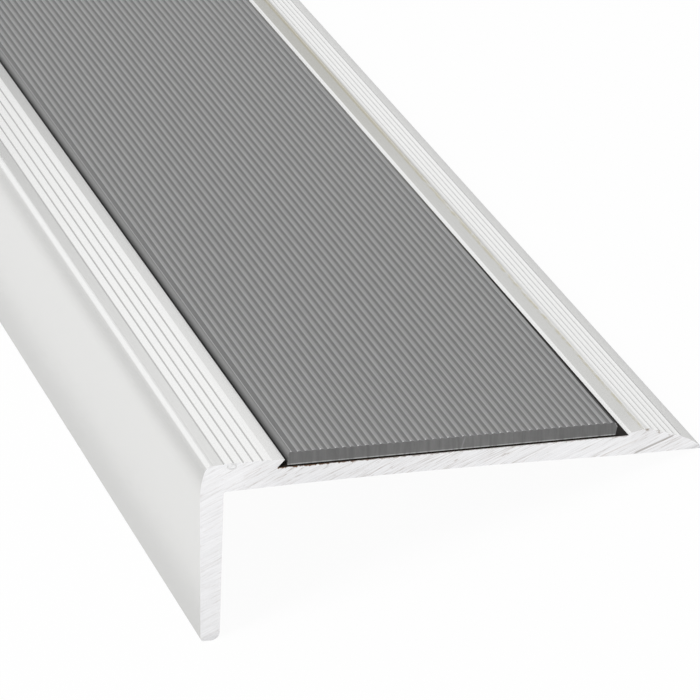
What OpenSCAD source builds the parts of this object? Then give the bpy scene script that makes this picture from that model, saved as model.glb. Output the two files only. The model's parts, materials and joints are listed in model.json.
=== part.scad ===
/* [Stock] */
// Length the nosing is sold in
length = 1000; // [200:50:3000]

/* [Leg] */
// Drop of the front leg below the underside of the tread flange
leg_drop = 23; // [14:0.5:50]
// Thickness of the leg where it meets the flange
leg_root_t = 3.55; // [3:0.05:6]
// Thickness of the leg at its toe
leg_toe_t = 2.85; // [2.2:0.05:4]
// Radius on the front edge of the toe
toe_front_r = 0.45; // [0.1:0.05:0.8]
// Radius on the back edge of the toe
toe_back_r = 1.3; // [0.2:0.1:1.4]
// Fillet inside the angle between leg and flange
angle_fillet_r = 0.4; // [0.1:0.1:1.5]

/* [Underside] */
// Height of the shallow hollow under the flange
hollow_h = 0.38; // [0.1:0.02:0.6]
// Level rim under the flange between the leg and the hollow
front_rim_w = 0.6; // [0.5:0.1:6]
// Level rim under the flange between the hollow and the back edge
rear_rim_w = 13; // [4:0.5:20]
// Straight run at each end of the hollow, before its curve
hollow_lead = 0.5; // [0.2:0.1:3]

/* [Nose] */
// Height of the flat lands above the underside of the flange
land_h = 4.22; // [3.8:0.02:6]
// Lean of the front face, from upright, where it nears the land
lean_angle = 19.5; // [10:0.5:30]
// Radius that blends the upright front face into the lean
front_r = 12; // [4:0.5:20]
// Radius over the edge of the nose
nose_r = 1.45; // [0.5:0.05:2]
// Straight stretch between those two radii
lean_flat = 0.1; // [0.05:0.05:1]

/* [Front tread] */
// Flat land from the nose to the first tooth
front_land_w = 2.52; // [1.6:0.02:6]
// Teeth in the front grip
tooth_n = 5; // [1:1:12]
// Pitch of the front teeth
tooth_pitch = 1.45; // [0.8:0.05:3]
// Height of a front tooth above the land
tooth_h = 0.18; // [0.1:0.01:0.6]
// Run of the steep face at the front of a tooth
tooth_face_run = 0.12; // [0.05:0.01:0.3]
// Flat land from the last tooth to the lip of the channel
lip_land_w = 1.92; // [1:0.01:5]
// Reach of the lip over its undercut
lip_reach = 1.15; // [0.4:0.05:1.5]
// Radius on the edge of the lip
lip_r = 0.05; // [0.03:0.01:0.2]

/* [Channel] */
// Thickness of the flange under the channel
floor_t = 3.05; // [2.4:0.05:3.2]
// Gap between the lip and the front edge of the insert
lip_gap = 0.26; // [0.1:0.02:1]
// Gap between the back edge of the insert and the foot of the rear wall
rear_gap = 1.8; // [0.3:0.1:3]
// Rise of the sloped rear wall above the channel floor
wall_rise = 0.35; // [0.2:0.05:1]
// Run of the sloped rear wall
wall_run = 0.44; // [0.2:0.02:1.5]

/* [Rear tread] */
// Width of the ledge behind the channel
ledge_w = 2; // [1:0.02:6]
// Rise of the ledge towards its back edge
ledge_rise = 0.4; // [0:0.05:0.6]
// Width of the level crown behind the ledge
crown_w = 0.32; // [0.1:0.02:3]
// Steps that come down from the ledge
step_n = 5; // [1:1:7]
// Pitch of the steps
step_pitch = 1.12; // [0.8:0.02:2]
// Run of the sloped drop at the back of a step
drop_run = 0.32; // [0.1:0.02:0.4]
// Level stretch at the front of a step
tread_flat_w = 0.3; // [0.2:0.02:0.34]
// Radius over the crown of a step
tread_r = 1; // [0.2:0.1:1.2]
// Fall along the tread of one step
tread_fall = 0.06; // [0.02:0.01:0.2]
// Fall from one step to the next
step_fall = 0.36; // [0.25:0.01:0.5]
// Run of the plain slope behind the last step
slope_run = 2.64; // [1.5:0.02:5]
// Height of the slope's crown over its chord
slope_crown = 0.2; // [0.05:0.01:0.3]
// Radius over the crown of the slope
slope_r = 8; // [1:0.5:10]
// Thickness left at the back edge
tip_t = 0.5; // [0.2:0.05:0.5]
// Run of the bevel over the back edge
tip_run = 0.2; // [0.1:0.05:0.5]

/* [Insert] */
// Width of the ribbed insert
insert_w = 50; // [30:0.5:80]
// Thickness of the insert under its ribs
insert_t = 1.83; // [1.2:0.01:4]
// Thickness of the bond under the insert
bond_t = 0.3; // [0.1:0.05:0.6]
// Pitch of the ribs
rib_pitch = 1.13; // [0.9:0.01:2.5]
// Height of a rib
rib_h = 0.12; // [0.1:0.01:0.5]
// Width of a rib's crest
rib_crest_w = 0.42; // [0.2:0.01:0.45]
// Run of the steep front side of a rib
rib_front_run = 0.08; // [0.05:0.01:0.15]
// Run of the gentle back side of a rib
rib_back_run = 0.24; // [0.1:0.01:0.25]
// Distance from the front edge of the insert to the middle of its first rib
rib_start = 1.78; // [1.5:0.02:4]
// Least distance from the middle of the last rib to the back edge
rib_end = 0.75; // [0.75:0.05:4]
// Width of the smooth band along the front edge, as high as the ribs
edge_band_w = 0.85; // [0.65:0.05:0.95]
// Radius on the front edge of that band
edge_band_r = 0.3; // [0.1:0.05:0.4]
// Run of the front side from its foot back to its top
front_lean = 0.25; // [0.05:0.05:0.3]
// Drop of the bevel over the back edge of the insert
bevel_drop = 0.55; // [0.1:0.05:0.6]
// Run of that bevel
bevel_run = 0.25; // [0.05:0.05:0.3]
// Run of the back side from its widest line in to its foot
back_tuck = 0.3; // [0.05:0.05:0.6]

/* [Hidden] */
// Largest gap between a rounded corner and the chords that draw it
arc_gap = 0.004;

// Leaning stretch of the front face, long enough for the radii at its ends
lean_w = front_r * tan(lean_angle / 2) + lean_flat + nose_r * tan((90 - lean_angle) / 2);
lean_h = lean_w * cos(lean_angle);

// Stations along the depth, each a run behind the one before it
nose_y = lean_w * sin(lean_angle);
teeth_y = nose_y + front_land_w;
lip_y = teeth_y + tooth_n * tooth_pitch + lip_land_w;
insert_y = lip_y + lip_gap;
wall_y = insert_y + insert_w + rear_gap;
ledge_y = wall_y + wall_run;
crown_y = ledge_y + ledge_w;
steps_y = crown_y + crown_w;
slope_y = steps_y + step_n * step_pitch;
depth = slope_y + slope_run + tip_run;

// Hollow of the underside: from rim to rim, and the radius that fills it
hollow_front_y = leg_root_t + front_rim_w;
hollow_back_y = depth - rear_rim_w;
hollow_mid_y = (hollow_front_y + hollow_back_y) / 2;
hollow_slope = atan(2 * hollow_h / (hollow_back_y - hollow_mid_y));
hollow_r = ((hollow_back_y - hollow_mid_y) / cos(hollow_slope) - hollow_lead) / tan(hollow_slope);

// Heights above the rims under the flange
steps_z = floor_t + wall_rise + ledge_rise;
slope_z = steps_z - step_n * step_fall;
insert_z = floor_t + bond_t;
valley_z = insert_z + insert_t;
crest_z = valley_z + rib_h;

// As many ribs as the insert has room for
rib_n = floor((insert_w - rib_start - rib_end) / rib_pitch) + 1;

// Corner b of the path a, b, c as an arc of radius r that touches both sides
function corner(a, b, c, r) =
    let (u = (a - b) / norm(a - b),
         v = (c - b) / norm(c - b),
         turn = 180 - acos(u * v),
         centre = b + (u + v) / norm(u + v) * r / cos(turn / 2),
         from = b + u * r * tan(turn / 2) - centre,
         side = sign(u.x * v.y - u.y * v.x),
         n = ceil(turn / (2 * acos(1 - arc_gap / r))))
    [for (i = [0 : n])
        let (w = -side * turn * i / n)
        centre + [from.x * cos(w) - from.y * sin(w), from.x * sin(w) + from.y * cos(w)]];

// Outline through points [y, z, r], with an arc at each point that has a radius
function rounded(path) =
    let (n = len(path), at = function (i) [path[(i + n) % n].x, path[(i + n) % n].y])
    [for (i = [0 : n - 1])
        each path[i][2] > 0 ? corner(at(i - 1), at(i), at(i + 1), path[i][2]) : [at(i)]];

// Front grip: saw teeth that rise steeply at the front and fall towards the back
front_teeth = [for (i = [0 : tooth_n - 1])
    let (y = teeth_y + i * tooth_pitch)
    each [[y, land_h, 0], [y + tooth_face_run, land_h + tooth_h, 0]]];

// Rear grip: crowned treads, each with a sloped drop to the next one
rear_steps = [for (i = [0 : step_n - 1])
    let (y = steps_y + i * step_pitch, z = steps_z - i * step_fall)
    each [
        [y, z, 0],
        [y + tread_flat_w, z, tread_r],
        [y + step_pitch - drop_run, z - tread_fall, 0]]];

// Section of the extrusion, with the flange level and the leg upright
profile_outline = rounded([
    [0, -leg_drop, toe_front_r],
    [0, land_h - lean_h, front_r],
    [nose_y, land_h, nose_r],
    each front_teeth,
    [lip_y - lip_land_w, land_h, 0],
    [lip_y, land_h, lip_r],
    [lip_y - lip_reach, floor_t, 0],
    [wall_y, floor_t, 0],
    [ledge_y, floor_t + wall_rise, 0],
    [crown_y, steps_z, 0],
    each rear_steps,
    [slope_y, slope_z, 0],
    [slope_y + slope_run / 2, (slope_z + tip_t) / 2 + slope_crown, slope_r],
    [depth - tip_run, tip_t, 0],
    [depth, 0, 0],
    [hollow_back_y, 0, 0],
    [hollow_mid_y, 2 * hollow_h, hollow_r],
    [hollow_front_y, 0, 0],
    [leg_root_t, 0, angle_fillet_r],
    [leg_toe_t, -leg_drop, toe_back_r]]);

// Ribs of the insert: a steep front side, a flat crest and a gentle back side
insert_ribs = [for (i = [0 : rib_n - 1])
    let (y = insert_y + rib_start + i * rib_pitch)
    each [
        [y - rib_crest_w / 2 - rib_front_run, valley_z, 0],
        [y - rib_crest_w / 2, crest_z, 0],
        [y + rib_crest_w / 2, crest_z, 0],
        [y + rib_crest_w / 2 + rib_back_run, valley_z, 0]]];

// Section of the insert, in place over its bond
insert_outline = rounded([
    [insert_y, insert_z, 0],
    [insert_y + front_lean, crest_z, edge_band_r],
    [insert_y + edge_band_w, crest_z, 0],
    [insert_y + edge_band_w + rib_back_run, valley_z, 0],
    each insert_ribs,
    [insert_y + insert_w - bevel_run, valley_z, 0],
    [insert_y + insert_w, valley_z - bevel_drop, 0],
    [insert_y + insert_w - back_tuck, insert_z, 0]]);

// Tilt at which the toe and the back edge both stand on a level floor
rest_tilt = max([for (p = profile_outline) if (p.y < 0) atan2(-p.y, depth - p.x)]);
// Middle of the tilted section, front to back
tilted_y = [for (p = profile_outline) p.x * cos(rest_tilt) + p.y * sin(rest_tilt)];
middle_y = (min(tilted_y) + max(tilted_y)) / 2;

// Runs a section along the length, then sets it down on toe and back edge
module stock(outline) {
    translate([0, -middle_y, depth * sin(rest_tilt)])
    rotate([-rest_tilt, 0, 0])
    rotate([90, 0, 90])
    linear_extrude(height = length, center = true)
    polygon(outline);
}

module profile() {
    color("#d9dad8") stock(profile_outline);
}

module insert() {
    color("#6f6f6f") stock(insert_outline);
}

// Adhesive under the insert, squeezed out thin to the feet of both walls of the channel
module bond_strip() {
    color("#262422") stock([
        [lip_y - lip_reach, floor_t],
        [insert_y, insert_z],
        [insert_y + insert_w - back_tuck, insert_z],
        [wall_y, floor_t]]);
}

profile();
insert();
bond_strip();
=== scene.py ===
import json
import math

import bmesh
import bpy
from mathutils import Matrix, Vector


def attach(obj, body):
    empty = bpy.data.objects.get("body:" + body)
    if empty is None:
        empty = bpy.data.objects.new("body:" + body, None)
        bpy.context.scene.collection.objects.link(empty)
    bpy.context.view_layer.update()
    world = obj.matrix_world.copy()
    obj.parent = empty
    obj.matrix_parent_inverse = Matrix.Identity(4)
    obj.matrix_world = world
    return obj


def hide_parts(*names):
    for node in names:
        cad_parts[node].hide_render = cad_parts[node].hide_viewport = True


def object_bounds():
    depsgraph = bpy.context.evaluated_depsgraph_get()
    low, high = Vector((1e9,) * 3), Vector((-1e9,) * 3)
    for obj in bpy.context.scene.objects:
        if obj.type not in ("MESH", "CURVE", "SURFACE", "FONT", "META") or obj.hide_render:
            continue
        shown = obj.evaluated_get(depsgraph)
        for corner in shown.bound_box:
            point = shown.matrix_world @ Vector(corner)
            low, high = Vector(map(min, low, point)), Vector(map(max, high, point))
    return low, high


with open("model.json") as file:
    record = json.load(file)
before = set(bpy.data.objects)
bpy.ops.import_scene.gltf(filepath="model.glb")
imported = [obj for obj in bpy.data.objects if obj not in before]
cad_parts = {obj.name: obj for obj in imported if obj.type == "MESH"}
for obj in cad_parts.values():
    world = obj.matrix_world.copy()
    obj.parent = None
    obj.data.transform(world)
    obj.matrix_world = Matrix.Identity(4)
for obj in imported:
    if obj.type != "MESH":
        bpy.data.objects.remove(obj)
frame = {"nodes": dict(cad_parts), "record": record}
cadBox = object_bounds()
mm = 0.001
scene = bpy.context.scene
scene.view_settings.view_transform = "Standard"

# The nosing lies tilted on its toe and back edge; its own section is upright in these axes:
# x along the stock, y from the front face to the back edge, z up from the flange's underside
mounts = {m["name"]: m for m in frame["record"]["mounts"]}
treadFace = mounts["tread_face"]
restTilt = math.asin(-treadFace["axis"][1])
cutX = cadBox[1].x   # the sawn end that faces the camera


def nodePoints(name):
    return [v.co.copy() for v in frame["nodes"][name].data.vertices]


level = Matrix.Rotation(restTilt, 4, "X")
frontY = min((level @ p).y for p in nodePoints("profile"))
underZ = (level @ Vector(treadFace["pos_m"])).z
toSection = Matrix.Translation((0, -frontY, -underZ)) @ level
toFloor = toSection.inverted()

# Lays down a section that is drawn in the xy plane and run along z
fromFlat = Matrix(((0, 0, 1, 0), (1, 0, 0, 0), (0, 1, 0, 0), (0, 0, 0, 1)))
lay = toFloor @ fromFlat
print("section frame: tilt %.2f deg" % math.degrees(restTilt))


# Small helpers for node trees

def addNode(tree, kind, plugs=None, **settings):
    made = tree.nodes.new(kind)
    for key, value in settings.items():
        setattr(made, key, value)
    for key, value in (plugs or {}).items():
        if isinstance(value, bpy.types.NodeSocket):
            tree.links.new(value, made.inputs[key])
        else:
            made.inputs[key].default_value = value
    return made


def newMaterial(name):
    made = bpy.data.materials.new(name)
    made.use_nodes = True
    made.node_tree.nodes.clear()
    return made, made.node_tree


def finishMaterial(tree, shader):
    addNode(tree, "ShaderNodeOutputMaterial", {"Surface": shader})


def sectionCoords(tree, turn=0.0, stretch=(1, 1, 1)):
    # Object coordinates set upright in the section's axes, then turned about the length and stretched
    where = addNode(tree, "ShaderNodeTexCoord").outputs["Object"]
    place = {"Vector": where, "Rotation": (restTilt, 0, 0), "Location": toSection.translation}
    upright = addNode(tree, "ShaderNodeMapping", place).outputs[0]
    if turn == 0 and tuple(stretch) == (1, 1, 1):
        return upright
    turned = addNode(tree, "ShaderNodeMapping", {"Vector": upright, "Rotation": (-turn, 0, 0)}).outputs[0]
    return addNode(tree, "ShaderNodeMapping", {"Vector": turned, "Scale": stretch}).outputs[0]


def alongStock(tree, run, gap):
    # Coordinates for marks that run along the stock
    return sectionCoords(tree, 0, (1 / run, 1 / gap, 1 / gap))


def acrossCut(tree, slope, run, gap):
    # Coordinates for marks that run across the sawn end
    return sectionCoords(tree, slope, (1, 1 / run, 1 / gap))


def sectionAxes(tree, turn=0.0):
    return addNode(tree, "ShaderNodeSeparateXYZ", {0: sectionCoords(tree, turn)}).outputs


def math2(tree, how, a, b=0.0):
    return addNode(tree, "ShaderNodeMath", {0: a, 1: b}, operation=how).outputs[0]


def product(tree, *values):
    total = values[0]
    for value in values[1:]:
        total = math2(tree, "MULTIPLY", total, value)
    return total


def blended(tree, first, second, share):
    rest = math2(tree, "MULTIPLY", second, 1 - share)
    return math2(tree, "ADD", math2(tree, "MULTIPLY", first, share), rest)


def fromCut(tree):
    # Distance along the stock from the sawn end that faces the camera
    return math2(tree, "SUBTRACT", cutX, sectionAxes(tree)[0])


def noiseOf(tree, coords, scale=1.0, detail=3.0, rough=0.55):
    plugs = {"Vector": coords, "Scale": scale, "Detail": detail, "Roughness": rough}
    return addNode(tree, "ShaderNodeTexNoise", plugs).outputs["Fac"]


def grainOf(tree, size, detail=2):
    return noiseOf(tree, sectionCoords(tree), 1 / size, detail)


def rangeOf(tree, value, low, high, toLow=0.0, toHigh=1.0, smooth=False):
    kind = "SMOOTHSTEP" if smooth else "LINEAR"
    plugs = {"Value": value, "From Min": low, "From Max": high, "To Min": toLow, "To Max": toHigh}
    return addNode(tree, "ShaderNodeMapRange", plugs, interpolation_type=kind).outputs["Result"]


def bandOf(tree, value, start, end, soft):
    # 1 between start and end, with soft borders
    rise = rangeOf(tree, value, start - soft, start + soft, smooth=True)
    fall = rangeOf(tree, value, end - soft, end + soft, 1.0, 0.0, smooth=True)
    return math2(tree, "MULTIPLY", rise, fall)


def repeated(tree, along, row):
    # 1 beside each line of a row of grooves, drops or ribs
    cell = math2(tree, "DIVIDE", math2(tree, "SUBTRACT", along, row["first"]), row["pitch"])
    away = math2(tree, "SUBTRACT", math2(tree, "FRACT", math2(tree, "ADD", cell, 0.5)), 0.5)
    away = math2(tree, "MULTIPLY", away, row["pitch"])
    inRow = bandOf(tree, cell, -0.5, row["count"] - 0.5, 0.01)
    return product(tree, bandOf(tree, away, row["start"], row["end"], row["soft"]), inRow)


def scratchesOf(tree, coords, width):
    # Thin lines where a stretched noise passes its middle value
    off = math2(tree, "ABSOLUTE", math2(tree, "SUBTRACT", noiseOf(tree, coords, 1, 1), 0.5))
    return rangeOf(tree, off, 0, width, 1.0, 0.0, smooth=True)


def slantOf(tree, mark):
    # Height above a straight mark on the cut, measured square to it
    (y0, z0), (y1, z1) = mark["start"], mark["end"]
    lean = math.atan2(z1 - z0, y1 - y0)
    middle = z0 * math.cos(lean) - y0 * math.sin(lean)
    return math2(tree, "SUBTRACT", sectionAxes(tree, lean)[2], middle)


def lineAcross(tree, y, mark):
    # 1 along a straight mark on the cut, from its start to its end, with soft ends
    half = mark["width"] / 2
    softEnd = 0.3 * mm
    line = bandOf(tree, slantOf(tree, mark), -half, half, mark["width"] / 3)
    return product(tree, line, bandOf(tree, y, mark["start"][0], mark["end"][0], softEnd))


def tinted(tree, amount, low, high, blend="MIX"):
    # Colour between low and high by amount, or low multiplied by high; 6 and 7 are the colour sockets
    plugs = {"Factor": amount}
    for spot, value in ((6, low), (7, high)):
        plugs[spot] = value if isinstance(value, bpy.types.NodeSocket) else (*value, 1)
    return addNode(tree, "ShaderNodeMix", plugs, data_type="RGBA", blend_type=blend).outputs[2]


def shaded(tree, amount, colour, shade):
    return tinted(tree, amount, colour, (shade,) * 3, "MULTIPLY")


def times(colour, factor):
    return [c * factor for c in colour]


def mottled(tree, noise, look, colour):
    # The colour, darker and paler with a noise
    dark = times(colour, look["darkest"])
    pale = times(colour, look["palest"])
    return tinted(tree, rangeOf(tree, noise, *look["span"]), dark, pale)


def bumpOf(tree, height, look):
    plugs = {"Height": height, "Distance": look["depth"], "Strength": look["bump"]}
    return addNode(tree, "ShaderNodeBump", plugs).outputs[0]


def metalShader(tree, colour, rough, relief):
    plugs = {"Base Color": colour, "Roughness": rough, "Normal": relief, "Metallic": 1.0}
    finishMaterial(tree, addNode(tree, "ShaderNodeBsdfPrincipled", plugs).outputs[0])


def plasticShader(tree, colour, rough, relief, sheen):
    plugs = {"Base Color": colour, "Roughness": rough, "Normal": relief, "Specular IOR Level": sheen}
    finishMaterial(tree, addNode(tree, "ShaderNodeBsdfPrincipled", plugs).outputs[0])


# Satin anodised aluminium: a fine matt grain with faint drawn lines; the tread's painted shades, dirt and
# stain lie above treadZ
satin = dict(colour=(0.625, 0.625, 0.614), roughness=0.25, darkest=0.95, palest=1.05, span=(0.3, 0.7),
             grain=0.17 * mm, depth=0.004 * mm, bump=0.5, grainShare=0.75, lineGap=0.3 * mm,
             lineRun=40 * mm, treadZ=(1.2 * mm, 1.4 * mm))

# Painted shade in the feet of the front grooves and of the drops between the rear steps; the grooves'
# painted shade deepens along the stock
grooves = dict(first=3.584 * mm, pitch=1.45 * mm, count=5, start=-0.07 * mm, end=0.08 * mm,
               soft=0.05 * mm, shade=0.64, near=0.70, full=75 * mm)
drops = dict(first=68.694 * mm, pitch=1.12 * mm, count=5, start=-0.40 * mm, end=-0.12 * mm,
             soft=0.04 * mm, shade=0.56)

# Painted shade and light in strips along the stock: shade beside the nose's highlight, light where the
# front land starts, shade on the lip, over the rear steps and in the last drop; one with a near share is
# weaker at the sawn end and full further along
noseEdge = dict(start=1.64 * mm, end=1.84 * mm, soft=0.08 * mm, shade=0.935)
landStart = dict(start=1.95 * mm, end=2.18 * mm, soft=0.12 * mm, shade=1.07)
lip = dict(start=10.8 * mm, end=12.6 * mm, soft=0.1 * mm, shade=0.94, near=0.0, full=100 * mm)
rearSteps = dict(start=67.5 * mm, end=73.17 * mm, soft=0.05 * mm, shade=0.945)
lastDrop = dict(start=72.76 * mm, end=73.12 * mm, soft=0.05 * mm, shade=0.72)

# Grey ledge behind the insert: painted shade, deeper towards its back and fading out near the sawn end; it
# is dirtier along the stock
ledge = dict(front=65.25 * mm, back=67.28 * mm, soft=0.05 * mm, shade=(0.905, 0.905, 0.895),
             frontShare=0.75, backShare=1.1, cutFadeFrom=0.5 * mm, cutFadeTo=8 * mm, cutFadeShare=0.15,
             dirt=(0.87, 0.862, 0.825), rampFrom=100 * mm, rampFull=180 * mm)
# Painted shade at the foot of the rear steps' crown; the second layer, growing further along the stock,
# deepens and widens it
crown = dict(foot=67.33 * mm, dark=67.55 * mm, clear=67.95 * mm, soft=0.05 * mm, shade=0.82)
crownFarShade = dict(foot=67.33 * mm, dark=67.40 * mm, clear=68.30 * mm, soft=0.05 * mm, shade=0.67,
                 rampFrom=30 * mm, rampFull=100 * mm)
stain = dict(colour=(0.88, 0.84, 0.71), start=66.72 * mm, full=67.00 * mm, fade=67.09 * mm,
             end=67.43 * mm, spread=0.35 * mm, blotRun=2.2 * mm, blotGap=0.5 * mm, span=(0.34, 0.62),
             thicker=0.3)


def strengthOf(tree, away, mark):
    if "near" not in mark:
        return 1.0
    return rangeOf(tree, away, 0, mark["full"], mark["near"], 1.0)


def ledgeShadeAndDirt(tree, colour, y, away, onTread):
    # Painted shade on the ledge and at the crown's foot, dirt along the stock, and the brown stain
    onLedge = product(tree, bandOf(tree, y, ledge["front"], ledge["back"], ledge["soft"]), onTread)
    deeper = rangeOf(tree, y, ledge["front"], ledge["back"], ledge["frontShare"], ledge["backShare"])
    shadeFromCut = rangeOf(tree, away, ledge["cutFadeFrom"], ledge["cutFadeTo"], ledge["cutFadeShare"], 1.0, smooth=True)
    colour = tinted(tree, product(tree, onLedge, deeper, shadeFromCut), colour, ledge["shade"], "MULTIPLY")
    ledgeDirt = rangeOf(tree, away, ledge["rampFrom"], ledge["rampFull"])
    colour = tinted(tree, product(tree, onLedge, ledgeDirt), colour, ledge["dirt"], "MULTIPLY")
    # Painted shade at the crown's foot, with more of it further along the stock
    fartherAlong = rangeOf(tree, away, crownFarShade["rampFrom"], crownFarShade["rampFull"])
    for mark, share in ((crown, 1.0), (crownFarShade, fartherAlong)):
        rise = rangeOf(tree, y, mark["foot"] - mark["soft"], mark["foot"] + mark["soft"])
        fall = rangeOf(tree, y, mark["dark"], mark["clear"], 1.0, 0.0)
        colour = shaded(tree, product(tree, rise, fall, onTread, share), colour, mark["shade"])
    spreadY = math2(tree, "SUBTRACT", y, math2(tree, "MULTIPLY", fartherAlong, stain["spread"]))
    rise = rangeOf(tree, y, stain["start"], stain["full"], smooth=True)
    fall = rangeOf(tree, spreadY, stain["fade"], stain["end"], 1.0, 0.0, smooth=True)
    blots = noiseOf(tree, alongStock(tree, stain["blotRun"], stain["blotGap"]))
    blots = math2(tree, "ADD", blots, math2(tree, "MULTIPLY", ledgeDirt, stain["thicker"]))
    brown = product(tree, rise, fall, onTread, rangeOf(tree, blots, *stain["span"], smooth=True))
    return tinted(tree, brown, colour, stain["colour"], "MULTIPLY")


def satinAluminium():
    mat, tree = newMaterial("satinAluminium")
    y, z = sectionAxes(tree)[1:3]
    away = fromCut(tree)
    grain = grainOf(tree, satin["grain"])
    lines = noiseOf(tree, alongStock(tree, satin["lineRun"], satin["lineGap"]))
    colour = mottled(tree, blended(tree, grain, lines, satin["grainShare"]), satin, satin["colour"])
    onTread = rangeOf(tree, z, *satin["treadZ"])
    # Painted shade in the grooves and the drops
    for row in (grooves, drops):
        line = product(tree, repeated(tree, y, row), onTread, strengthOf(tree, away, row))
        colour = shaded(tree, line, colour, row["shade"])
    # Painted shade and painted light in strips across the tread
    for strip in (noseEdge, landStart, lip, rearSteps, lastDrop):
        line = bandOf(tree, y, strip["start"], strip["end"], strip["soft"])
        line = product(tree, line, onTread, strengthOf(tree, away, strip))
        colour = shaded(tree, line, colour, strip["shade"])
    colour = ledgeShadeAndDirt(tree, colour, y, away, onTread)
    metalShader(tree, colour, satin["roughness"], bumpOf(tree, grain, satin))
    return mat


# Sawn end: fine strokes that rise to the back over a fine grit
sawn = dict(colour=(0.83, 0.83, 0.84), roughness=0.42, darkest=0.885, palest=1.04, span=(0.33, 0.62),
            depth=0.006 * mm, bump=0.5, slope=math.radians(22.5), strokeRun=5 * mm,
            strokeGap=0.10 * mm, strokeShare=0.6, grit=0.12 * mm)
# Painted light and shade on the sawn end: palest at the nose, darker towards the toe and across the
# flange, lighter again towards the back
cutPaintedShades = dict(toeZ=-21 * mm, noseZ=2 * mm, toe=0.985, nose=1.07, flangeFrom=5 * mm,
                 flangeFull=14 * mm, flange=0.985, backFrom=28 * mm, backFull=42 * mm, backLift=0.03)

# Long thin scratches, and short steeper ones in patches; both are faint on the leg
scratches = [dict(run=26 * mm, gap=0.55 * mm, steeper=1.0, width=0.02, shade=(0.78, 0.76, 0.74),
                  patchy=False),
             dict(run=8.667 * mm, gap=0.275 * mm, steeper=1.25, width=0.025, shade=(0.70, 0.66, 0.63),
                  patchy=True)]
scratchSpread = dict(legY=5 * mm, flangeY=13 * mm, legShare=0.45, patch=9 * mm, patchSpan=(0.4, 0.55))

# Brown specks below the bond, three gouges, and the nicks at the feet of the rear steps, painted dark as
# their burrs together with the shadow under them
specks = dict(colour=(0.17, 0.10, 0.06), top=3.07 * mm, depth=0.4 * mm, topSoft=0.02 * mm,
              start=11.6 * mm, end=64.6 * mm, endSoft=0.1 * mm, size=0.45 * mm, crowding=0.5,
              span=(0.72, 0.86), lowFade=0.1, fewFrom=20 * mm, fewTo=38 * mm, few=0.35)
gouges = [dict(start=(65.8 * mm, 0.16 * mm), end=(71.7 * mm, 2.36 * mm), width=0.27 * mm,
               shade=(0.60, 0.58, 0.56)),
          dict(start=(69.8 * mm, 0.6 * mm), end=(72.8 * mm, 1.85 * mm), width=0.2 * mm,
               shade=(0.84, 0.83, 0.82)),
          dict(start=(60.5 * mm, 0.1 * mm), end=(66.2 * mm, 2.2 * mm), width=0.2 * mm,
               shade=(0.86, 0.84, 0.82))]
nicks = dict(start=66.9 * mm, end=71.2 * mm, endSoft=0.1 * mm, top=3.84 * mm, fall=0.31,
             depth=0.22 * mm, size=0.9 * mm, span=(0.5, 0.6), shade=(0.55, 0.51, 0.46))


# Painted light and shade by height on the leg and across the flange
def cutPaintedShadeOf(tree, y, z):
    leg = rangeOf(tree, z, cutPaintedShades["toeZ"], cutPaintedShades["noseZ"], cutPaintedShades["toe"], cutPaintedShades["nose"])
    flange = rangeOf(tree, y, cutPaintedShades["flangeFrom"], cutPaintedShades["flangeFull"], leg,
                     cutPaintedShades["flange"], smooth=True)
    back = rangeOf(tree, y, cutPaintedShades["backFrom"], cutPaintedShades["backFull"], 0, cutPaintedShades["backLift"],
                   smooth=True)
    return math2(tree, "ADD", flange, back)


def speckMarks(tree, y, z):
    dots = grainOf(tree, specks["size"], 3)
    edge = product(tree, rangeOf(tree, z, specks["top"] - specks["depth"], specks["top"]),
                   bandOf(tree, z, 0, specks["top"], specks["topSoft"]),
                   bandOf(tree, y, specks["start"], specks["end"], specks["endSoft"]))
    crowded = math2(tree, "ADD", math2(tree, "MULTIPLY", edge, specks["crowding"]), dots)
    return product(tree, rangeOf(tree, crowded, *specks["span"]),
                   rangeOf(tree, edge, 0, specks["lowFade"]),
                   rangeOf(tree, y, specks["fewFrom"], specks["fewTo"], 1.0, specks["few"]))


def nickMarks(tree, y, z):
    fallen = math2(tree, "MULTIPLY", math2(tree, "SUBTRACT", y, nicks["start"]), nicks["fall"])
    below = math2(tree, "SUBTRACT", nicks["top"], math2(tree, "ADD", z, fallen))
    return product(tree, rangeOf(tree, below, 0, nicks["depth"], 1.0, 0.0),
                   rangeOf(tree, grainOf(tree, nicks["size"]), *nicks["span"]),
                   bandOf(tree, y, nicks["start"], nicks["end"], nicks["endSoft"]))


def sawnAluminium():
    mat, tree = newMaterial("sawnAluminium")
    y, z = sectionAxes(tree)[1:3]
    strokes = noiseOf(tree, acrossCut(tree, sawn["slope"], sawn["strokeRun"], sawn["strokeGap"]), 1, 2)
    fine = blended(tree, strokes, grainOf(tree, sawn["grit"]), sawn["strokeShare"])
    colour = mottled(tree, fine, sawn, sawn["colour"])
    # Painted light and shade across the sawn end
    colour = tinted(tree, 1.0, colour, cutPaintedShadeOf(tree, y, z), "MULTIPLY")
    onFlange = rangeOf(tree, y, scratchSpread["legY"], scratchSpread["flangeY"], scratchSpread["legShare"],
                       1.0, smooth=True)
    patches = rangeOf(tree, grainOf(tree, scratchSpread["patch"], 1), *scratchSpread["patchSpan"])
    for kind in scratches:
        where = acrossCut(tree, sawn["slope"] * kind["steeper"], kind["run"], kind["gap"])
        lines = product(tree, scratchesOf(tree, where, kind["width"]), onFlange)
        if kind["patchy"]:
            lines = product(tree, lines, patches)
        colour = tinted(tree, lines, colour, kind["shade"], "MULTIPLY")
    colour = tinted(tree, speckMarks(tree, y, z), colour, specks["colour"])
    for gouge in gouges:
        colour = tinted(tree, lineAcross(tree, y, gouge), colour, gouge["shade"], "MULTIPLY")
    # Nicks: dark burrs with painted shadow under them
    colour = tinted(tree, nickMarks(tree, y, z), colour, nicks["shade"], "MULTIPLY")
    metalShader(tree, colour, sawn["roughness"], bumpOf(tree, fine, sawn))
    return mat
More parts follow.
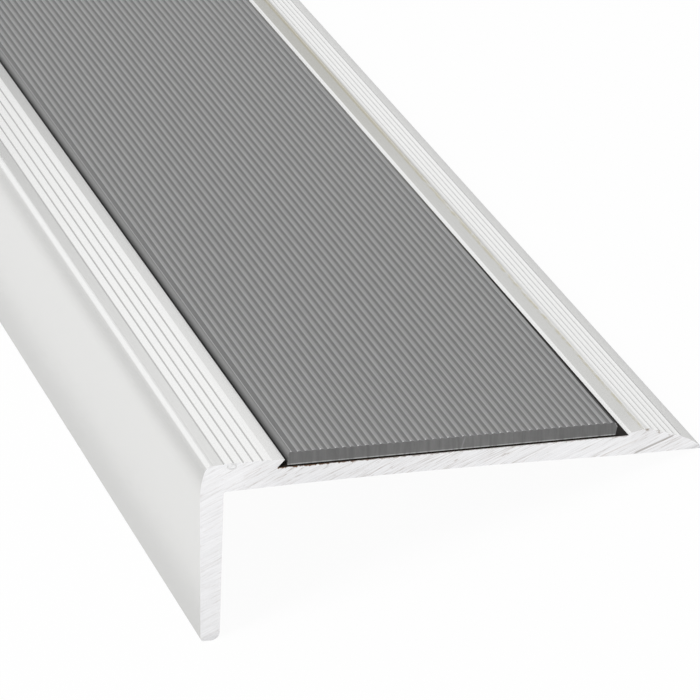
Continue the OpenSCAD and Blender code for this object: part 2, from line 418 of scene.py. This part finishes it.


# Grey ribbed plastic: paler crests and darker valleys, painted highlights on the ribs' front crest edges,
# painted shade at their feet, and a painted highlight line along its front edge
plastic = dict(valley=(0.156, 0.156, 0.156), crest=(0.303, 0.303, 0.303), roughness=0.46, sheen=0.4,
               valleyZ=5.19 * mm, crestZ=5.28 * mm, ribsFrom=14.1 * mm, ribsFull=14.2 * mm,
               grain=0.2 * mm, depth=0.01 * mm, bump=0.4)
wear = dict(run=9 * mm, gap=0.5 * mm, share=0.6, span=(0.3, 0.7), darkest=0.93, palest=1.07)
ribs = dict(first=14.60 * mm, pitch=1.13 * mm, count=43, soft=0.03 * mm)
# Painted highlight along each rib's front crest edge
ribCrestHighlights = dict(ribs, start=-0.05 * mm, end=0.10 * mm, paler=1.10)
# Painted shade at each rib's foot
ribFootShade = dict(ribs, start=-0.32 * mm, end=-0.07 * mm, shade=0.86)
# Painted shade on the insert's front side, dark low down, slightly paler at its top
frontSide = dict(start=13.80 * mm, end=13.84 * mm, low=4.35 * mm, high=5.05 * mm, foot=0.65, top=1.06)
# Painted highlight line along the top of the front edge
frontEdgeHighlight = dict(start=13.57 * mm, end=13.69 * mm, soft=0.03 * mm, low=5.0 * mm, high=5.1 * mm, paler=1.35)

# Shadowed rear edge, which narrows along the stock
rearBevel = dict(start=62.36 * mm, full=62.40 * mm, shade=0.10, sheen=0.08, narrowFrom=12 * mm,
                 narrowTo=115 * mm, narrowing=0.67 * mm)


def ribbedPlastic():
    mat, tree = newMaterial("ribbedPlastic")
    y, z = sectionAxes(tree)[1:3]
    grain = grainOf(tree, plastic["grain"], 3)
    # Paler on the crests and darker in the valleys, by height
    onRib = product(tree, rangeOf(tree, z, plastic["valleyZ"], plastic["crestZ"]),
                    rangeOf(tree, y, plastic["ribsFrom"], plastic["ribsFull"]))
    colour = tinted(tree, onRib, plastic["valley"], plastic["crest"])
    # Painted highlights on the ribs' front crest edges
    edges = product(tree, repeated(tree, y, ribCrestHighlights), onRib)
    colour = tinted(tree, edges, colour, times(plastic["crest"], ribCrestHighlights["paler"]))
    # Painted shade at the ribs' feet
    colour = shaded(tree, repeated(tree, y, ribFootShade), colour, ribFootShade["shade"])
    rubbed = noiseOf(tree, alongStock(tree, wear["run"], wear["gap"]))
    rubbed = mottled(tree, blended(tree, rubbed, grain, wear["share"]), wear, (1, 1, 1))
    colour = tinted(tree, 1.0, colour, rubbed, "MULTIPLY")
    # Painted shade on the insert's front side
    inFront = rangeOf(tree, y, frontSide["start"], frontSide["end"], 1.0, 0.0)
    shade = rangeOf(tree, z, frontSide["low"], frontSide["high"], frontSide["foot"], frontSide["top"])
    colour = tinted(tree, inFront, colour, shade, "MULTIPLY")
    narrow = rangeOf(tree, fromCut(tree), rearBevel["narrowFrom"], rearBevel["narrowTo"], 0.0,
                     rearBevel["narrowing"])
    behind = math2(tree, "SUBTRACT", y, narrow)
    behind = rangeOf(tree, behind, rearBevel["start"], rearBevel["full"])
    colour = shaded(tree, behind, colour, rearBevel["shade"])
    # Painted highlight line along the front edge
    highlightLine = product(tree, bandOf(tree, y, frontEdgeHighlight["start"], frontEdgeHighlight["end"], frontEdgeHighlight["soft"]),
                  rangeOf(tree, z, frontEdgeHighlight["low"], frontEdgeHighlight["high"]))
    colour = tinted(tree, highlightLine, colour, times(plastic["crest"], frontEdgeHighlight["paler"]))
    sheen = rangeOf(tree, behind, 0, 1, plastic["sheen"], rearBevel["sheen"])
    plasticShader(tree, colour, plastic["roughness"], bumpOf(tree, grain, plastic), sheen)
    return mat


# Smeared cut end of the insert: paler in the middle, one bright line, and painted highlights along its
# foot and its rear rim
smear = dict(colour=(0.180, 0.180, 0.179), wide=0.6 * mm, tall=4 * mm, span=(0.3, 0.7), darkest=0.85,
             palest=1.15, depth=0.02 * mm, bump=0.4)
cutPale = dict(start=30 * mm, end=50 * mm, soft=5 * mm, shade=1.12)
cutLine = dict(start=(39.3 * mm, 3.7 * mm), end=(39.8 * mm, 5.1 * mm), width=0.2 * mm, colour=(0.30,) * 3)
cutFootHighlight = dict(low=3.44 * mm, high=3.54 * mm, span=(0.2, 0.55), colour=(0.55,) * 3)
# Painted highlight along the rear rim of the cut
cutRimHighlight = dict(start=(62.78 * mm, 5.17 * mm), end=(63.03 * mm, 4.62 * mm), full=0.084 * mm,
              width=0.14 * mm, colour=(0.40,) * 3)


def cutPlastic():
    mat, tree = newMaterial("cutPlastic")
    y, z = sectionAxes(tree)[1:3]
    smears = noiseOf(tree, acrossCut(tree, 0, smear["wide"], smear["tall"]))
    colour = mottled(tree, smears, smear, smear["colour"])
    middle = bandOf(tree, y, cutPale["start"], cutPale["end"], cutPale["soft"])
    colour = shaded(tree, middle, colour, cutPale["shade"])
    colour = tinted(tree, lineAcross(tree, y, cutLine), colour, cutLine["colour"])
    # Painted highlight along the lower edge, broken by the smears
    foot = product(tree, rangeOf(tree, z, cutFootHighlight["low"], cutFootHighlight["high"], 1.0, 0.0),
                   rangeOf(tree, smears, *cutFootHighlight["span"]))
    colour = tinted(tree, foot, colour, cutFootHighlight["colour"])
    # Painted highlight along the rear rim
    rim = rangeOf(tree, slantOf(tree, cutRimHighlight), -cutRimHighlight["width"], -cutRimHighlight["full"])
    colour = tinted(tree, rim, colour, cutRimHighlight["colour"])
    plasticShader(tree, colour, plastic["roughness"], bumpOf(tree, smears, smear), plastic["sheen"])
    return mat


# What the saw tore: a chip duller than the metal's cut, and burrs paler than the plastic
torn = dict(grain=0.1 * mm, depth=0.01 * mm, bump=0.4, chip=((0.60,) * 3, (0.86,) * 3), chipRoughness=0.35,
            tips=((0.60,) * 3, (0.85,) * 3))


def dullChip():
    mat, tree = newMaterial("dullChip")
    grain = grainOf(tree, torn["grain"])
    metalShader(tree, tinted(tree, grain, *torn["chip"]), torn["chipRoughness"], bumpOf(tree, grain, torn))
    return mat


def paleBurr():
    mat, tree = newMaterial("paleBurr")
    grain = grainOf(tree, torn["grain"])
    colour = tinted(tree, grain, *torn["tips"])
    plasticShader(tree, colour, plastic["roughness"], bumpOf(tree, grain, torn), plastic["sheen"])
    return mat


# Brown-black adhesive under the insert, dusty further along the stock
bond = dict(colour=(0.012, 0.0095, 0.0075), roughness=0.7, sheen=0.08, lump=0.5 * mm, span=(0.35, 0.65),
            darkest=1.0, palest=1.8, depth=0.05 * mm, bump=0.6)
dust = dict(colour=(0.47, 0.465, 0.45), start=75 * mm, full=135 * mm, end=250 * mm, clear=700 * mm)


def blackBond():
    mat, tree = newMaterial("blackBond")
    away = fromCut(tree)
    lumps = grainOf(tree, bond["lump"], 3)
    dusty = product(tree, rangeOf(tree, away, dust["start"], dust["full"]),
                    rangeOf(tree, away, dust["end"], dust["clear"], 1.0, 0.0))
    colour = tinted(tree, dusty, mottled(tree, lumps, bond, bond["colour"]), dust["colour"])
    plasticShader(tree, colour, bond["roughness"], bumpOf(tree, lumps, bond), bond["sheen"])
    return mat


aluminium = satinAluminium()
aluminiumCut = sawnAluminium()
insertTop = ribbedPlastic()
insertCut = cutPlastic()
burrFinish = paleBurr()
chipFinish = dullChip()
adhesive = blackBond()
print("materials:", len(bpy.data.materials))


# Section of a CAD node, read off its sawn end as a closed loop in the section's axes
def cutOutline(name):
    bm = bmesh.new()
    bm.from_mesh(frame["nodes"][name].data)
    bmesh.ops.remove_doubles(bm, verts=bm.verts, dist=1e-6)
    endFaces = [f for f in bm.faces if all(abs(v.co.x - cutX) < 1e-5 for v in f.verts)]
    face = bmesh.ops.dissolve_faces(bm, faces=endFaces)["region"][0]
    loop = [toSection @ v.co for v in face.verts]
    bm.free()
    return [(p.y, p.z) for p in loop]


# Small helpers for Geometry Nodes

def newTree(name, inputs, output):
    tree = bpy.data.node_groups.new(name, "GeometryNodeTree")
    for label, kind in inputs.items():
        tree.interface.new_socket(label, in_out="INPUT", socket_type="NodeSocket" + kind)
    tree.interface.new_socket(output, in_out="OUTPUT", socket_type="NodeSocketGeometry")
    return tree, addNode(tree, "NodeGroupInput").outputs


def step(tree, kind, plugs, **settings):
    return addNode(tree, kind, plugs, **settings).outputs[0]


def greater(tree, value, limit):
    plugs = {0: value, 1: limit}
    return step(tree, "FunctionNodeCompare", plugs, data_type="FLOAT", operation="GREATER_THAN")


def setInput(modifier, name, value):
    for item in modifier.node_group.interface.items_tree:
        if item.item_type == "SOCKET" and item.in_out == "INPUT" and item.name == name:
            modifier[item.identifier] = value


def newPiece(name, points, edges, tree, inputs):
    mesh = bpy.data.meshes.new(name)
    mesh.from_pydata(points, edges, [])
    piece = bpy.data.objects.new(name, mesh)
    scene.collection.objects.link(piece)
    modifier = piece.modifiers.new("nodes", "NODES")
    modifier.node_group = tree
    for key, value in inputs.items():
        setInput(modifier, key, value)
    return piece


def plainMesh(piece):
    # The evaluated result as an ordinary mesh, with no modifier left
    graph = bpy.context.evaluated_depsgraph_get()
    shown = piece.evaluated_get(graph)
    made = bpy.data.meshes.new_from_object(shown, preserve_all_data_layers=True, depsgraph=graph)
    made.name = piece.name
    piece.modifiers.clear()
    piece.data = made
    print(piece.name, len(made.polygons), "faces")


# Geometry Nodes: rounds the corners of a section, runs it along the stock and lays it down on the floor
stock = dict(arcSteps=3, weld=1e-7, sharpAbove=math.radians(38), cutFacing=0.9)


def stockTree():
    tree, given = newTree("stockFromSection", {
        "Section": "Geometry", "Length": "Float", "Corner Round": "Float", "Turn": "Rotation",
        "Place": "Vector", "Side Finish": "Material", "Cut Finish": "Material"}, "Stock")
    curve = step(tree, "GeometryNodeMeshToCurve", {"Mesh": given["Section"]})
    rounding = {"Curve": curve, "Radius": given["Corner Round"], "Limit Radius": True,
                "Count": stock["arcSteps"]}
    curve = step(tree, "GeometryNodeFilletCurve", rounding, mode="POLY")
    fill = step(tree, "GeometryNodeFillCurve", {"Curve": curve}, mode="NGONS")
    run = step(tree, "GeometryNodeExtrudeMesh", {"Mesh": fill, "Offset Scale": given["Length"],
                                                 "Individual": False})
    back = step(tree, "GeometryNodeFlipFaces", {"Mesh": fill})
    both = addNode(tree, "GeometryNodeJoinGeometry")
    tree.links.new(run, both.inputs[0])
    tree.links.new(back, both.inputs[0])
    body = step(tree, "GeometryNodeMergeByDistance", {"Geometry": both.outputs[0],
                                                      "Distance": stock["weld"]})
    bend = addNode(tree, "GeometryNodeInputMeshEdgeAngle").outputs["Unsigned Angle"]
    sharp = greater(tree, bend, stock["sharpAbove"])
    body = step(tree, "GeometryNodeSetShadeSmooth", {"Geometry": body, "Shade Smooth": True})
    body = step(tree, "GeometryNodeSetShadeSmooth", {"Geometry": body, "Selection": sharp,
                                                     "Shade Smooth": False}, domain="EDGE")
    body = step(tree, "GeometryNodeTransform", {"Geometry": body, "Translation": given["Place"],
                                                "Rotation": given["Turn"]})
    body = step(tree, "GeometryNodeRealizeInstances", {"Geometry": body})
    normal = addNode(tree, "GeometryNodeInputNormal").outputs[0]
    facing = math2(tree, "ABSOLUTE", step(tree, "ShaderNodeSeparateXYZ", {0: normal}))
    isCut = greater(tree, facing, stock["cutFacing"])
    body = step(tree, "GeometryNodeSetMaterial", {"Geometry": body, "Material": given["Side Finish"]})
    body = step(tree, "GeometryNodeSetMaterial", {"Geometry": body, "Selection": isCut,
                                                  "Material": given["Cut Finish"]})
    addNode(tree, "NodeGroupOutput", {"Stock": body})
    return tree


sweep = stockTree()


def runStock(name, points, cornerRound, sides, ends, recess=0.0):
    corners = [(y, z, 0) for y, z in points]
    edges = [(i, (i + 1) % len(corners)) for i in range(len(corners))]
    piece = newPiece(name, corners, edges, sweep, {
        "Length": cadBox[1].x - cadBox[0].x - recess, "Corner Round": cornerRound, "Turn": lay.to_euler(),
        "Place": lay.translation + Vector((cadBox[0].x, 0, 0)), "Side Finish": sides, "Cut Finish": ends})
    even = piece.modifiers.new("evenShade", "WEIGHTED_NORMAL")
    even.keep_sharp = True
    plainMesh(piece)
    return piece


# The metal's sawn end stands a hair back, so that the chip on it stays within the stock's length
profile = dict(cornerRound=0.05 * mm, recess=0.1 * mm)
nosing = runStock("nosingProfile", cutOutline("profile"), profile["cornerRound"], aluminium, aluminiumCut,
                  profile["recess"])
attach(nosing, "root")
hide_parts("profile")

insert = dict(cornerRound=0.04 * mm)
ribOutline = cutOutline("insert")
ribbed = runStock("ribbedInsert", ribOutline, insert["cornerRound"], insertTop, insertCut)
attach(ribbed, "root")
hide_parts("insert")


def sectionPoint(x, y, z):
    return toFloor @ Vector((x, y, z))


# Geometry Nodes: a curled chip that the saw left, bent round an arc
burr = dict(at=(4.8 * mm, 3.82 * mm), radius=0.5 * mm, wide=1.3, high=0.8, wire=0.12 * mm, clear=0.01 * mm,
            start=150, sweep=310, arcSteps=28, ringSteps=10)


def chipTree():
    tree, given = newTree("curledChip", {
        "Radius": "Float", "Wire": "Float", "Start": "Float", "Sweep": "Float", "Stretch": "Vector",
        "Turn": "Rotation", "Place": "Vector", "Finish": "Material"}, "Chip")
    arc = addNode(tree, "GeometryNodeCurveArc", {
        "Resolution": burr["arcSteps"], "Radius": given["Radius"], "Start Angle": given["Start"],
        "Sweep Angle": given["Sweep"]}).outputs["Curve"]
    arc = step(tree, "GeometryNodeTransform", {"Geometry": arc, "Scale": given["Stretch"]})
    ring = addNode(tree, "GeometryNodeCurvePrimitiveCircle", {
        "Resolution": burr["ringSteps"], "Radius": given["Wire"]}).outputs["Curve"]
    chip = step(tree, "GeometryNodeCurveToMesh", {"Curve": arc, "Profile Curve": ring, "Fill Caps": True})
    chip = step(tree, "GeometryNodeTransform", {"Geometry": chip, "Translation": given["Place"],
                                                "Rotation": given["Turn"]})
    chip = step(tree, "GeometryNodeRealizeInstances", {"Geometry": chip})
    chip = step(tree, "GeometryNodeSetMaterial", {"Geometry": chip, "Material": given["Finish"]})
    addNode(tree, "NodeGroupOutput", {"Chip": chip})
    return tree


chip = newPiece("sawBurr", [], [], chipTree(), {
    "Radius": burr["radius"], "Wire": burr["wire"], "Start": math.radians(burr["start"]),
    "Sweep": math.radians(burr["sweep"]), "Stretch": (burr["wide"], burr["high"], 1),
    "Turn": lay.to_euler(), "Finish": chipFinish,
    "Place": sectionPoint(cutX - burr["wire"] - burr["clear"], *burr["at"])})
plainMesh(chip)
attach(chip, "root")

# Geometry Nodes: a small melted bead on every spot, each a little different in size
tips = dict(radius=0.125 * mm, smallest=0.55, back=0.13 * mm, sink=0.02 * mm, behind=0.05 * mm, seed=7,
            crestWidth=(0.3 * mm, 0.5 * mm), crestLevel=0.001 * mm)


def beadTree():
    tree, given = newTree("beadsOnSpots", {
        "Spots": "Geometry", "Bead Radius": "Float", "Seed": "Int", "Finish": "Material"}, "Beads")
    spots = step(tree, "GeometryNodeMeshToPoints", {"Mesh": given["Spots"]})
    bead = step(tree, "GeometryNodeMeshIcoSphere", {"Radius": given["Bead Radius"], "Subdivisions": 2})
    sizes = {2: tips["smallest"], 3: 1.0, "Seed": given["Seed"]}
    size = addNode(tree, "FunctionNodeRandomValue", sizes).outputs[1]
    beads = step(tree, "GeometryNodeInstanceOnPoints", {"Points": spots, "Instance": bead, "Scale": size})
    beads = step(tree, "GeometryNodeRealizeInstances", {"Geometry": beads})
    beads = step(tree, "GeometryNodeSetShadeSmooth", {"Geometry": beads, "Shade Smooth": True})
    beads = step(tree, "GeometryNodeSetMaterial", {"Geometry": beads, "Material": given["Finish"]})
    addNode(tree, "NodeGroupOutput", {"Beads": beads})
    return tree


# Pale beads where the saw dragged at the front edge of each rib
crestZ = max(z for y, z in ribOutline)
crests = sorted(y for y, z in ribOutline if crestZ - z < tips["crestLevel"])
narrowest, widest = tips["crestWidth"]
ribFronts = [y for y, after in zip(crests, crests[1:]) if narrowest < after - y < widest]
spots = [sectionPoint(cutX - tips["back"], y + tips["behind"], crestZ - tips["sink"]) for y in ribFronts]
beads = newPiece("ribTips", spots, [], beadTree(), {
    "Bead Radius": tips["radius"], "Seed": tips["seed"], "Finish": burrFinish})
plainMesh(beads)
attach(beads, "root")

bondNode = frame["nodes"]["bond_strip"]
bondNode.data.materials.clear()
bondNode.data.materials.append(adhesive)


# Camera at the photograph's angle; it is rolled, because the photograph shows the tread level
shot = dict(aim=(cutX - 39.92 * mm, 0.18 * mm, 17.67 * mm), distance=0.9229, azimuth=81.707,
            elevation=23.468, roll=17.906, lens=313.48, sensor=36, nearest=0.01, furthest=100)


def placeCamera():
    camera = bpy.data.cameras.new("camera")
    camera.lens = shot["lens"]
    camera.sensor_width = shot["sensor"]
    camera.clip_start = shot["nearest"]
    camera.clip_end = shot["furthest"]
    holder = bpy.data.objects.new("camera", camera)
    scene.collection.objects.link(holder)
    a = math.radians(shot["azimuth"])
    e = math.radians(shot["elevation"])
    back = Vector((math.sin(a) * math.cos(e), -math.cos(a) * math.cos(e), math.sin(e)))
    roll = Matrix.Rotation(-math.radians(shot["roll"]), 4, "Z")
    turn = (-back).to_track_quat("-Z", "Y").to_matrix().to_4x4() @ roll
    holder.matrix_world = Matrix.Translation(Vector(shot["aim"]) + back * shot["distance"]) @ turn
    scene.camera = holder


placeCamera()
print("camera: %.0f mm lens at %.2f m" % (shot["lens"], shot["distance"]))


# White floor that keeps a light shadow, a white surround and soft boxes
studio = dict(floorSize=80.0, floorColour=0.88, cameraGlow=0.96, mirrorGlow=0.35, surround=0.4,
              target=(cutX - 0.12, 0, 0.015))
softBoxes = [dict(name="backLeft", at=(-1.62, -0.17, 0.92), size=(1.2, 0.6), watts=1.3,
                  colour=(0.965, 0.97, 1.0), mirrored=True),
             dict(name="backRight", at=(-1.62, 1.05, 0.45), size=(0.8, 0.5), watts=0.66,
                  colour=(0.965, 0.97, 1.0), mirrored=True),
             dict(name="key", at=(0.6, -1.6, 1.6), size=(1.2, 1.2), watts=40, colour=(1, 1, 1),
                  mirrored=False)]


def lyingSheet(x, y, z):
    return [(x[0], y[0], z), (x[1], y[0], z), (x[1], y[1], z), (x[0], y[1], z)]


def standingSheet(x, y, z):
    return [(x, y[0], z[0]), (x, y[1], z[0]), (x, y[1], z[1]), (x, y[0], z[1])]


# Cards that only reflections see: on the floor before the leg and the sawn end, and a grey one behind
cardLift = 0.5 * mm
cards = [dict(name="frontCard", glow=1.125,
              corners=lyingSheet((cadBox[0].x - 0.1, cutX + 0.1), (-0.115, -0.0462), cardLift)),
         dict(name="endCard", glow=1.05,
              corners=lyingSheet((cutX + 0.0004, cutX + 0.15), (-0.047, 0.08), cardLift)),
         dict(name="greyCard", glow=0.40,
              corners=standingSheet(-1.75, (-0.2, 0.58), (0.15, 0.62)))]


def whiteFloor():
    mat, tree = newMaterial("whiteFloor")
    paint = (studio["floorColour"],) * 3 + (1,)
    matte = addNode(tree, "ShaderNodeBsdfDiffuse", {"Color": paint}).outputs[0]
    glow = addNode(tree, "ShaderNodeEmission", {"Strength": 1.0}).outputs[0]
    path = addNode(tree, "ShaderNodeLightPath").outputs
    mirror = math2(tree, "MAXIMUM", path["Is Glossy Ray"], path["Is Transmission Ray"])
    share = math2(tree, "MULTIPLY", path["Is Camera Ray"], studio["cameraGlow"])
    share = math2(tree, "ADD", share, math2(tree, "MULTIPLY", mirror, studio["mirrorGlow"]))
    both = addNode(tree, "ShaderNodeMixShader", {0: share, 1: matte, 2: glow}).outputs[0]
    finishMaterial(tree, both)
    return mat


def whiteSurround():
    world = bpy.data.worlds.new("surround")
    scene.world = world
    world.use_nodes = True
    tree = world.node_tree
    tree.nodes.clear()
    path = addNode(tree, "ShaderNodeLightPath").outputs
    seen = math2(tree, "MAXIMUM", path["Is Camera Ray"], path["Is Glossy Ray"])
    seen = math2(tree, "MAXIMUM", seen, path["Is Transmission Ray"])
    light = addNode(tree, "ShaderNodeBackground", {"Strength": studio["surround"]})
    shown = addNode(tree, "ShaderNodeBackground", {"Strength": 1.0})
    for glow in (light, shown):
        glow.inputs["Color"].default_value = (1, 1, 1, 1)
    mix = {0: seen, 1: light.outputs[0], 2: shown.outputs[0]}
    both = addNode(tree, "ShaderNodeMixShader", mix).outputs[0]
    addNode(tree, "ShaderNodeOutputWorld", {"Surface": both})


def flatSheet(name, corners, material):
    mesh = bpy.data.meshes.new(name)
    mesh.from_pydata(corners, [], [(0, 1, 2, 3)])
    mesh.materials.append(material)
    sheet = bpy.data.objects.new(name, mesh)
    scene.collection.objects.link(sheet)
    return sheet


def setFloor():
    half = studio["floorSize"] / 2
    floor = flatSheet("floor", lyingSheet((-half, half), (-half, half), 0), whiteFloor())


def setSoftBox(box):
    lamp = bpy.data.lights.new(box["name"], "AREA")
    lamp.shape = "RECTANGLE"
    lamp.size, lamp.size_y = box["size"]
    lamp.energy = box["watts"]
    lamp.color = box["colour"]
    holder = bpy.data.objects.new(box["name"], lamp)
    scene.collection.objects.link(holder)
    holder.location = box["at"]
    toward = Vector(studio["target"]) - Vector(box["at"])
    holder.rotation_euler = toward.to_track_quat("-Z", "Y").to_euler()
    holder.visible_camera = False
    holder.visible_glossy = box["mirrored"]


def setCard(card):
    mat, tree = newMaterial(card["name"])
    finishMaterial(tree, addNode(tree, "ShaderNodeEmission", {"Strength": card["glow"]}).outputs[0])
    sheet = flatSheet(card["name"], card["corners"], mat)
    sheet.visible_camera = False
    sheet.visible_diffuse = False
    sheet.visible_shadow = False


setFloor()
whiteSurround()
for box in softBoxes:
    setSoftBox(box)
for card in cards:
    setCard(card)
print("studio: floor, surround,", len(softBoxes), "soft boxes and", len(cards), "cards")
